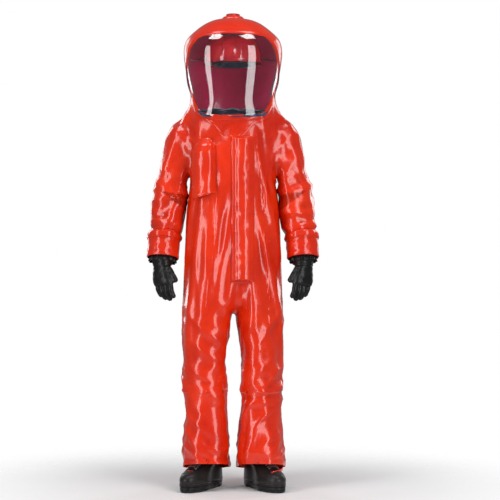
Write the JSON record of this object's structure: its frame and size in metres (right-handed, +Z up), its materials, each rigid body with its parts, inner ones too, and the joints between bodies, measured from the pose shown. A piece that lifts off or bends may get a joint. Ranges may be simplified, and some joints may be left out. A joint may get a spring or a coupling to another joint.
{
  "type": "chemical protective suit",
  "caption": "One-piece chemical protective suit with domed hood, panoramic visor, fitted gloves, leg overflaps and safety boots, standing in the shape it has when worn.",
  "frame": {"origin": "centre of the bounding box's base, on the floor between the boots", "axes": "+Z up, -Y the way the suit faces, +X towards the wearer's left"},
  "size_m": [0.6904, 0.4, 1.895],
  "materials": {
    "laminate": "glossy coated orange fabric",
    "inner_fabric": "matte navy lining",
    "clear_visor": "clear flexible sheet",
    "webbing": "woven navy tape",
    "rubber": "satin black rubber",
    "boot_leather": "polished dark leather",
    "boot_lace": "reddish brown lace",
    "black_plastic": "matte black plastic",
    "red_plastic": "glossy red plastic",
    "helmet_red": "glossy red plastic",
    "steel": "brushed zip slider"
  },
  "bodies": {
    "suit": {"right_leg_shell": "laminate", "right_boot_overflap": "laminate", "right_shoulder_gusset": "laminate", "right_inner_sock": "inner_fabric", "right_boot_upper": "boot_leather", "right_boot_tongue": "boot_leather", "right_boot_sole": "rubber", "right_boot_laces": "boot_lace", "right_helmet_strap": "webbing", "left_leg_shell": "laminate", "left_boot_overflap": "laminate", "left_shoulder_gusset": "laminate", "left_inner_sock": "inner_fabric", "left_boot_upper": "boot_leather", "left_boot_tongue": "boot_leather", "left_boot_sole": "rubber", "left_boot_laces": "boot_lace", "left_helmet_strap": "webbing", "torso_shell": "laminate", "hood_shell": "laminate", "visor_weld_strip": "laminate", "visor_pane": "clear_visor", "visor_inner_seal": "webbing", "storm_flap_hook_strip": "webbing", "zip_tape_right": "webbing", "zip_tape_left": "webbing", "helmet_sweatband": "webbing", "helmet_cradle": "webbing", "chest_valve_body": "red_plastic", "chest_valve_cap": "red_plastic", "crown_valve_body": "red_plastic", "crown_valve_cap": "red_plastic", "chest_valve_locknut": "black_plastic", "helmet_headband": "black_plastic", "helmet_shell": "helmet_red"},
    "right_upper_arm": {"right_upper_sleeve": "laminate", "right_elbow_gusset": "laminate"},
    "right_forearm": {"right_forearm_sleeve": "laminate", "right_outer_cuff": "laminate", "right_cuff_strap": "laminate"},
    "right_hand": {"right_glove_ring": "black_plastic", "right_glove_band": "rubber", "right_glove": "rubber"},
    "left_upper_arm": {"left_upper_sleeve": "laminate", "left_elbow_gusset": "laminate"},
    "left_forearm": {"left_forearm_sleeve": "laminate", "left_outer_cuff": "laminate", "left_cuff_strap": "laminate"},
    "left_hand": {"left_glove_ring": "black_plastic", "left_glove_band": "rubber", "left_glove": "rubber"},
    "zip_carriage": {"zip_slider": "steel", "zip_pull_tab": "webbing"},
    "front_flap": {"storm_flap": "laminate", "storm_flap_loop_strip": "webbing"},
    "chest_cover": {"chest_flap": "laminate"},
    "chest_disc": {"chest_valve_disc": "rubber"},
    "crown_disc": {"crown_valve_disc": "rubber"},
    "ratchet_knob": {"helmet_ratchet_knob": "black_plastic"}
  },
  "joints": [
    {"name": "right_shoulder", "type": "hinge", "parent": "suit", "child": "right_upper_arm", "pos_m": [-0.18948, 0.005, 1.395], "axis": [0, 1, 0], "range_deg": [0, 60], "deforming": ["right_shoulder_gusset"]},
    {"name": "right_elbow", "type": "hinge", "parent": "right_upper_arm", "child": "right_forearm", "pos_m": [-0.2644, 0.016, 1.105], "axis": [-1, 0, 0], "range_deg": [0, 70], "deforming": ["right_elbow_gusset"]},
    {"name": "right_glove_lock", "type": "hinge", "parent": "right_forearm", "child": "right_hand", "pos_m": [-0.27775, -0.018, 0.95], "axis": [-0.0528, -0.2463, -0.9677], "range_deg": [0, 20]},
    {"name": "left_shoulder", "type": "hinge", "parent": "suit", "child": "left_upper_arm", "pos_m": [0.18948, 0.005, 1.395], "axis": [0, -1, 0], "range_deg": [0, 60], "deforming": ["left_shoulder_gusset"]},
    {"name": "left_elbow", "type": "hinge", "parent": "left_upper_arm", "child": "left_forearm", "pos_m": [0.2644, 0.016, 1.105], "axis": [-1, 0, 0], "range_deg": [0, 70], "deforming": ["left_elbow_gusset"]},
    {"name": "left_glove_lock", "type": "hinge", "parent": "left_forearm", "child": "left_hand", "pos_m": [0.27775, -0.018, 0.95], "axis": [-0.0528, 0.2463, 0.9677], "range_deg": [0, 20]},
    {"name": "zip_slide", "type": "slide", "parent": "suit", "child": "zip_carriage", "axis": [0, -0.0182, -0.9998], "range_m": [0, 0.46]},
    {"name": "storm_flap_hinge", "type": "hinge", "parent": "suit", "child": "front_flap", "pos_m": [0.085, -0.14617, 1.11], "axis": [0, 0.0228, 0.9997], "range_deg": [0, 150]},
    {"name": "chest_flap_hinge", "type": "hinge", "parent": "suit", "child": "chest_cover", "pos_m": [-0.10909, -0.12983, 1.3883], "axis": [-0.9047, 0.4261, 0], "range_deg": [0, 80]},
    {"name": "chest_valve_lift", "type": "slide", "parent": "suit", "child": "chest_disc", "axis": [-0.4798, -0.8774, 0], "range_m": [0, 0.002], "stiffness_N_per_m": 20, "springref_m": -0.001},
    {"name": "crown_valve_lift", "type": "slide", "parent": "suit", "child": "crown_disc", "axis": [0, 0, 1], "range_m": [0, 0.002], "stiffness_N_per_m": 20, "springref_m": -0.001},
    {"name": "ratchet_turn", "type": "hinge", "parent": "suit", "child": "ratchet_knob", "pos_m": [0, 0.1023, 1.6988], "axis": [0, 1, 0], "continuous": true}
  ]
}
